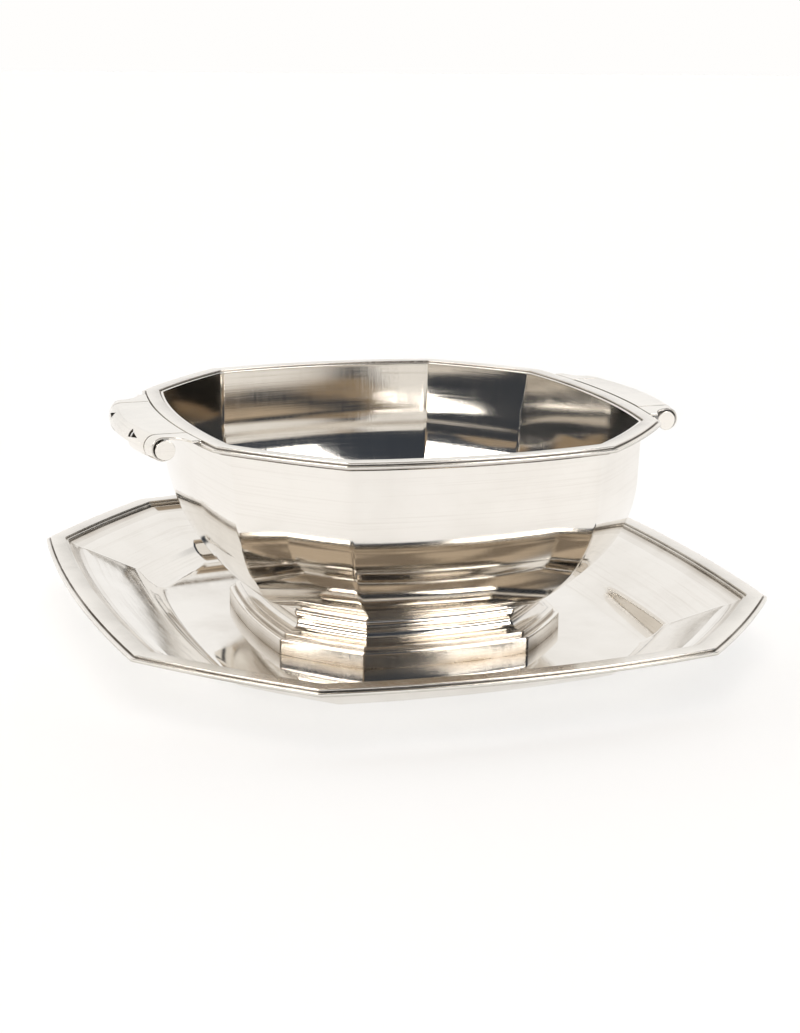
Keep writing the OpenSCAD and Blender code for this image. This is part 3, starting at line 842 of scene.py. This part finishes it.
def make_ribbon(side, name):
    """The handle sheet of one side, from the rim to the end of its roll."""
    flat_steps, half_turn, under_turn = 8, 18, 14
    degrees = [*np.linspace(90, LIP_END, half_turn)[1:], *np.linspace(LIP_END, ROLL_END, under_turn)[1:]]
    ys = np.concatenate([
        np.linspace(-RIBBON_HALF, -MIDDLE, 12), np.linspace(-MIDDLE, MIDDLE, 22)[1:-1],
        np.linspace(MIDDLE, RIBBON_HALF, 12),
    ])
    slices = [[(x, y, z) for x, z in sheet_line(y, degrees, flat_steps)] for y in ys]
    grid = [list(row) for row in zip(*slices)]
    last_middle = flat_steps + half_turn - 2

    def keep(i, j):
        return i < last_middle or abs(ys[j] + ys[j + 1]) / 2 > MIDDLE

    obj = sheet_object(name, grid, keep, side)
    cutters = [notch_cutter(side, up) for up in (-1, 1)]
    for c in cutters:
        cut = obj.modifiers.new("cut", "BOOLEAN")
        cut.operation = "DIFFERENCE"
        cut.solver = "EXACT"
        cut.object = c
    bake(obj)
    for c in cutters:
        bpy.data.objects.remove(c)
    finish_sheet(obj)
    return join_webs(obj, side)


for side, word in ((-1, "left"), (1, "right")):
    piece = make_ribbon(side, f"{word}_handle_sheet")
    dress(piece, mat_handle, f"{word}_handle_ribbon")


# %% [markdown]
# ### The side bands
# A band runs beside the sheet, with a groove between them. At the rim it
# spreads in a quarter circle. Its points depend on each other, because the
# width follows the place and the place follows the width, so each point is
# worked out a few times over until it settles.

# %% Side bands
SETTLE = 6


def band_edge(x):
    """Outer edge of a side band: it spreads where it meets the rim."""
    r = FLARE + 1.1
    cx, cy = RIM_LONG / 2 + GROOVE + r, HALF + r
    if x >= cx:
        return HALF
    if x <= cx - r:
        return HALF + FLARE
    return min(cy - math.sqrt(r * r - (cx - x) ** 2), HALF + FLARE)


def make_band(side, up, name):
    """One side band, flat from the rim and then round the roll."""
    flat_steps, turn_steps, cols = 22, 34, 7
    grid = []
    for i in range(flat_steps + turn_steps - 1):
        row = []
        for t in np.linspace(0, 1, cols):
            y = BAND_Y + t * (HALF - BAND_Y)
            if i < flat_steps:
                s = i / (flat_steps - 1)
                x = root_at(y) + (axis_at(y) - root_at(y)) * s
                for _ in range(SETTLE):
                    y = BAND_Y + t * (band_edge(x) - BAND_Y)
                    x = root_at(y) + (axis_at(min(y, HALF)) - root_at(y)) * s
                row.append((x, up * y, TOP))
            else:
                a = math.radians(90 - (90 - ROLL_END) * (i - flat_steps + 1) / (turn_steps - 1))
                row.append((axis_at(y) + ROLL_R * math.cos(a), up * y, ROLL_Z + ROLL_R * math.sin(a)))
        grid.append(row if up > 0 else row[::-1])
    return finish_sheet(sheet_object(name, grid, lambda i, j: True, side))


for side, word in ((-1, "left"), (1, "right")):
    for up, place in ((-1, "front"), (1, "back")):
        piece = make_band(side, up, f"{word}_handle_{place}_side_band")
        dress(piece, mat_handle, f"{word}_handle_{place}_band")


# %% [markdown]
# ## End plugs
# A short bar closes each end of the roll. On the real piece it is a round slug
# with a thin disc on its face. Both are bars that follow the line of the roll,
# so one Geometry Nodes tree makes them: a straight line, points crowded at both
# ends, a round section that draws in at the ends, then the bow of the roll.
# The tree has named inputs, so the same rule makes the disc and the slug.

# %% Geometry Nodes tree for a bar along the roll
# one input is the painted shade of the bar: how dark it is painted where it sits inside the roll
BAR_INPUTS = (
    ("Side", "NodeSocketFloat"), ("From Y", "NodeSocketFloat"), ("To Y", "NodeSocketFloat"),
    ("Radius", "NodeSocketFloat"), ("Soft Edge", "NodeSocketFloat"), ("Axis X", "NodeSocketFloat"),
    ("Axis Z", "NodeSocketFloat"), ("Bow", "NodeSocketFloat"), ("Painted Shade", "NodeSocketFloat"),
    ("Metal", "NodeSocketMaterial"),
)


def bar_tree():
    tree = bpy.data.node_groups.new("bar_along_the_roll", "GeometryNodeTree")
    for label, kind in BAR_INPUTS:
        tree.interface.new_socket(label, in_out="INPUT", socket_type=kind)
    tree.interface.new_socket("Bar", in_out="OUTPUT", socket_type="NodeSocketGeometry")
    nodes, links = tree.nodes, tree.links
    given = nodes.new("NodeGroupInput").outputs

    def step(kind, **plugs):
        node = nodes.new(kind)
        for label, value in plugs.items():
            socket = node.inputs[label.replace("_", " ")]
            if isinstance(value, bpy.types.NodeSocket):
                links.new(value, socket)
            else:
                socket.default_value = value
        return node

    def sums(kind, a, b=0.0):
        return maths(nodes, links, kind, a, b)

    def along_y(value):
        return step("ShaderNodeCombineXYZ", Y=value).outputs["Vector"]

    # the line, with its points crowded at both ends
    line = step("GeometryNodeCurvePrimitiveLine", Start=along_y(given["From Y"]), End=along_y(given["To Y"]))
    fine = step("GeometryNodeResampleCurve", Curve=line.outputs["Curve"], Count=26)
    share = nodes.new("GeometryNodeSplineParameter").outputs["Factor"]
    swing = sums("COSINE", sums("MULTIPLY", share, math.pi))
    crowd = sums("MULTIPLY", sums("SUBTRACT", 1.0, swing), 0.5)
    length = sums("SUBTRACT", given["To Y"], given["From Y"])
    y = sums("ADD", given["From Y"], sums("MULTIPLY", length, crowd))
    placed = step("GeometryNodeSetPosition", Geometry=fine.outputs["Curve"], Position=along_y(y))

    # the round section, drawn in by a quarter circle at the ends
    here = step("ShaderNodeSeparateXYZ", Vector=nodes.new("GeometryNodeInputPosition").outputs["Position"])
    from_start = sums("ABSOLUTE", sums("SUBTRACT", here.outputs["Y"], given["From Y"]))
    from_stop = sums("ABSOLUTE", sums("SUBTRACT", given["To Y"], here.outputs["Y"]))
    near = sums("DIVIDE", sums("MINIMUM", from_start, from_stop), given["Soft Edge"])
    gap = sums("MAXIMUM", sums("SUBTRACT", 1.0, near), 0.0)
    rest = sums("MAXIMUM", sums("SUBTRACT", 1.0, sums("MULTIPLY", gap, gap)), 0.0)
    drop = sums("SUBTRACT", 1.0, sums("SQRT", rest))
    width = sums("SUBTRACT", given["Radius"], sums("MULTIPLY", given["Soft Edge"], drop))
    ring = step("GeometryNodeCurvePrimitiveCircle", Resolution=48, Radius=1.0)
    bar = step(
        "GeometryNodeCurveToMesh", Curve=placed.outputs["Geometry"], Profile_Curve=ring.outputs["Curve"],
        Scale=width, Fill_Caps=True,
    )

    # the bow of the roll: the further from the middle, the closer to the bowl
    bow_square = sums("MULTIPLY", given["Bow"], given["Bow"])
    y_square = sums("MULTIPLY", here.outputs["Y"], here.outputs["Y"])
    fall = sums("SQRT", sums("SUBTRACT", bow_square, y_square))
    reach = sums("ADD", given["Axis X"], sums("SUBTRACT", fall, given["Bow"]))
    shift = step("ShaderNodeCombineXYZ", X=sums("MULTIPLY", given["Side"], reach), Z=given["Axis Z"])
    bent = step("GeometryNodeSetPosition", Geometry=bar.outputs["Mesh"], Offset=shift.outputs["Vector"])

    # the tone for painted shade, one real mesh, and its metal
    tone = step("GeometryNodeStoreNamedAttribute", Geometry=bent.outputs["Geometry"], Name="tarnish_and_shade")
    tone.data_type, tone.domain = "FLOAT", "POINT"
    links.new(given["Painted Shade"], tone.inputs["Value"])
    real = step("GeometryNodeRealizeInstances", Geometry=tone.outputs["Geometry"])
    metal = step("GeometryNodeSetMaterial", Geometry=real.outputs["Geometry"], Material=given["Metal"])
    links.new(metal.outputs["Geometry"], nodes.new("NodeGroupOutput").inputs["Bar"])
    return tree


BAR_TREE = bar_tree()
print("bar tree:", len(BAR_TREE.nodes), "nodes,", len(BAR_INPUTS), "named inputs")

# %% [markdown]
# ### Running the tree
# A node tree is only a rule. A modifier on an empty object runs it with one set
# of inputs, each found by its identifier, and the result is kept as a plain
# mesh. The object and the modifier have then done their work and go.

# %% One bar from the tree
def bar_mesh(values):
    """Runs the tree with the named values (lengths in metres) and gives a plain mesh."""
    obj = to_object("bar", bpy.data.meshes.new("bar"))
    mod = obj.modifiers.new("bar", "NODES")
    mod.node_group = BAR_TREE
    for item in BAR_TREE.interface.items_tree:
        if item.in_out == "INPUT":
            mod[item.identifier] = values[item.name]
    mesh = bake(obj).data
    bpy.data.objects.remove(obj)
    return mesh


# %% End plugs
PLUG_SOFT = 0.25
CAP_R, CAP_SINK, CAP_PROUD, CAP_SOFT, PLUG_LONG = 3.3, 0.33, 0.5, 0.16, 8.6


def make_plug(side, up, name):
    """The slug inside the roll and the thin disc on its face, set a little in and down."""
    bm = bmesh.new()
    # the last number is painted shade: the slug inside the roll is painted almost black, the disc on its
    # face stays clean
    parts = (
        (HALF + CAP_PROUD, HALF - 0.1, CAP_R, CAP_SOFT, CAP_SINK, 0.0),
        (HALF, HALF - PLUG_LONG, PLUG_R, PLUG_SOFT, 0.0, 1.0),
    )
    for outer, inner, radius, soft, sink, tone in parts:
        ends = sorted((up * outer, up * inner))
        mesh = bar_mesh({
            "Side": float(side), "From Y": ends[0] * MM, "To Y": ends[1] * MM, "Radius": radius * MM,
            "Soft Edge": soft * MM, "Axis X": (ROLL_X - sink) * MM, "Axis Z": (ROLL_Z - sink) * MM,
            "Bow": ROLL_BOW * MM, "Painted Shade": tone, "Metal": mat_handle,
        })
        bm.from_mesh(mesh)
        bpy.data.meshes.remove(mesh)
    bmesh.ops.recalc_face_normals(bm, faces=bm.faces)
    mesh = bpy.data.meshes.new(name)
    bm.to_mesh(mesh)
    bm.free()
    mesh.shade_smooth()
    print(name, len(mesh.vertices), "points")
    return even_normals(to_object(name, mesh))


for side, word in ((-1, "left"), (1, "right")):
    for up, place in ((-1, "front"), (1, "back")):
        piece = make_plug(side, up, f"{word}_handle_{place}_end_plug")
        dress(piece, mat_handle, f"{word}_handle_{place}_plug")

# %% [markdown]
# ## Parts that keep their engineering shape
# The plate inside the foot and the stud, washer and nut are plain turned parts,
# and the frame already has them exactly. They only need a better metal.

# %% Plain parts
for node, mat in (
    ("foot_base_plate", mat_foot), ("fixing_stud", mat_fixing),
    ("fixing_washer", mat_fixing), ("fixing_nut", mat_fixing),
):
    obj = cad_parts[node]
    for place in obj.material_slots:
        place.material = mat
    print(node, "keeps its shape, new metal")

# %% [markdown]
# ## Floor
# Silver shows its surroundings more than itself, so the room is part of the
# material. The upright walls of the bowl mirror the floor in front of them, so
# the floor is a wide, plain sheet of pale paper.

# %% Floor
FLOOR_HALF = 6.0  # metres


def make_floor():
    far = FLOOR_HALF
    corners = [(-far, -far, 0), (far, -far, 0), (far, far, 0), (-far, far, 0)]
    mesh = bpy.data.meshes.new("floor")
    mesh.from_pydata(corners, [], [(0, 1, 2, 3)])
    obj = to_object("floor", mesh)
    mat = bpy.data.materials.new("pale_paper")
    mat.use_nodes = True
    nodes, links = mat.node_tree.nodes, mat.node_tree.links
    shader = nodes["Principled BSDF"]
    shader.inputs["Base Color"].default_value = (0.92, 0.92, 0.92, 1)
    shader.inputs["Roughness"].default_value = 0.75
    coord = nodes.new("ShaderNodeTexCoord").outputs["Object"]
    tooth = bump(nodes, links, noise(nodes, links, coord, 900.0, 2.0), 0.0001, 0.1)
    links.new(tooth, shader.inputs["Normal"])
    obj.data.materials.append(mat)


make_floor()

# %% [markdown]
# ## The room that the silver mirrors
# A studio for silver is mostly white, with something dark on purpose: a mirror
# with nothing dark to show looks like plaster. The world is painted by
# direction. It is white behind the boat and along the floor line, dark blue
# grey elsewhere, warm in patches on the left, and warm and dim overhead, where
# the inside of the bowl and the belly look.

# %% Helpers for painting by direction
def step_up(nodes, links, value, low, high):
    """A soft step from 0 to 1 between low and high."""
    step = nodes.new("ShaderNodeMapRange")
    step.interpolation_type = "SMOOTHSTEP"
    step.inputs["From Min"].default_value = low
    step.inputs["From Max"].default_value = high
    links.new(value, step.inputs["Value"])
    return step.outputs["Result"]


def blend(nodes, links, amount, first, second):
    """first where amount is 0, second where it is 1."""
    step = nodes.new("ShaderNodeMix")
    step.data_type = "RGBA"
    links.new(amount, step.inputs["Factor"])
    for name, value in (("A", first), ("B", second)):
        if isinstance(value, tuple):
            step.inputs[name].default_value = (*value, 1)
        else:
            links.new(value, step.inputs[name])
    return step.outputs["Result"]


# %% Room
ROOM_DARK = (0.045, 0.052, 0.064)
ROOM_WARM = (0.34, 0.26, 0.175)
CEILING_DARK = (0.25, 0.20, 0.15)
CEILING_WARM = (0.58, 0.475, 0.355)
ROOM_WHITE = (1.0, 0.99, 0.975)
BEND = 0.35, 0.35, 0.2  # how far the edges between the tones wander


def make_world():
    """White wall and floor line, dark sides with warm patches, dim warm ceiling."""
    world = bpy.data.worlds.new("studio_room")
    bpy.context.scene.world = world
    world.use_nodes = True
    nodes, links = world.node_tree.nodes, world.node_tree.links
    coord = nodes.new("ShaderNodeTexCoord").outputs["Generated"]
    uneven = nodes.new("ShaderNodeTexNoise")
    uneven.inputs["Scale"].default_value = 1.7
    uneven.inputs["Detail"].default_value = 1.0
    links.new(coord, uneven.inputs["Vector"])
    shift = nodes.new("ShaderNodeVectorMath")
    shift.operation = "MULTIPLY_ADD"
    shift.inputs[1].default_value = BEND
    shift.inputs[2].default_value = [-b / 2 for b in BEND]
    links.new(uneven.outputs["Color"], shift.inputs[0])
    bent = nodes.new("ShaderNodeVectorMath")
    links.new(coord, bent.inputs[0])
    links.new(shift.outputs[0], bent.inputs[1])
    split = nodes.new("ShaderNodeSeparateXYZ")
    links.new(bent.outputs[0], split.inputs[0])
    plain = nodes.new("ShaderNodeSeparateXYZ")
    links.new(coord, plain.inputs[0])
    behind = step_up(nodes, links, split.outputs["Y"], 0.26, 0.42)
    ceiling = step_up(nodes, links, split.outputs["Z"], 0.80, 0.90)
    skirting = step_up(nodes, links, plain.outputs["Z"], 0.16, 0.05)
    wall = maths(nodes, links, "MULTIPLY", behind, maths(nodes, links, "SUBTRACT", 1.0, ceiling))
    white = maths(nodes, links, "MAXIMUM", wall, skirting)
    left = step_up(nodes, links, split.outputs["X"], -0.45, -0.70)
    above = step_up(nodes, links, plain.outputs["Z"], 0.80, 0.90)
    patches = step_up(nodes, links, noise(nodes, links, coord, 4.2, 1.5), 0.44, 0.49)
    sides = blend(nodes, links, maths(nodes, links, "MULTIPLY", left, patches), ROOM_DARK, ROOM_WARM)
    ceiling_tone = blend(nodes, links, patches, CEILING_DARK, CEILING_WARM)
    dark = blend(nodes, links, above, sides, ceiling_tone)
    links.new(blend(nodes, links, white, dark, ROOM_WHITE), nodes["Background"].inputs["Color"])


make_world()

# %% [markdown]
# ## Lamps
# Two suns light the floor and are hidden from the metal, which would turn them
# into hard white spots. A window and a softbox do the opposite: they show in
# the silver as soft bright shapes, and light nothing else.

# %% Lamps
LAMP_AIM = (0, 0, 0.03)
LAMP_WHITE = (1, 0.98, 0.95)


def lamp(name, kind, place, aim, energy, colour, mirrored, **sizes):
    """mirrored: seen in the silver only; otherwise it lights the floor only."""
    data = bpy.data.lights.new(name, kind)
    data.energy = energy
    data.color = colour
    for key, value in sizes.items():
        setattr(data, key, value)
    obj = bpy.data.objects.new(name, data)
    bpy.context.scene.collection.objects.link(obj)
    obj.location = place
    obj.rotation_euler = (Vector(aim) - Vector(place)).to_track_quat("-Z", "Y").to_euler()
    obj.visible_glossy = mirrored
    obj.visible_diffuse = not mirrored


lamp("even_fill", "SUN", (0, 0, 3), (0, 0, 0), 1.6, (0.97, 0.985, 1), False, use_shadow=False)
lamp("soft_daylight", "SUN", (-0.3, -1.2, 2.4), (0, 0, 0), 0.75, (1, 1, 1), False, angle=math.radians(60))
lamp(
    "window_left", "AREA", (-1.497, -0.458, 1.05), LAMP_AIM, 11.5, LAMP_WHITE, True,
    shape="RECTANGLE", size=0.74, size_y=0.70,
)
lamp(
    "softbox_front", "AREA", (0.86, -1.274, 1.06), LAMP_AIM, 15.5, LAMP_WHITE, True,
    shape="RECTANGLE", size=0.81, size_y=0.95,
)

# %% [markdown]
# ## Camera
# A long lens from a little above table height keeps the octagons true, and
# still looks down into the bowl. The camera leans by about one degree.

# %% Camera
LENS = 87.64
AZ, EL, ROLL = math.radians(-20.18), math.radians(14.54), math.radians(0.97)
EYE = Vector((-0.22863, -0.62952, 0.21102))


def make_camera():
    data = bpy.data.cameras.new("camera")
    data.lens = LENS
    data.sensor_width = 36
    data.sensor_fit = "HORIZONTAL"
    data.clip_start = 0.01
    back = Vector((math.sin(AZ) * math.cos(EL), -math.cos(AZ) * math.cos(EL), math.sin(EL)))
    right = Vector((math.cos(AZ), math.sin(AZ), 0))
    up = back.cross(right)
    leant_right = right * math.cos(ROLL) + up * math.sin(ROLL)
    leant_up = -right * math.sin(ROLL) + up * math.cos(ROLL)
    turn = Matrix((leant_right, leant_up, back)).transposed()
    obj = bpy.data.objects.new("camera", data)
    bpy.context.scene.collection.objects.link(obj)
    obj.matrix_world = Matrix.Translation(EYE) @ turn.to_4x4()
    bpy.context.scene.camera = obj


make_camera()
bpy.context.scene.view_settings.view_transform = "Standard"
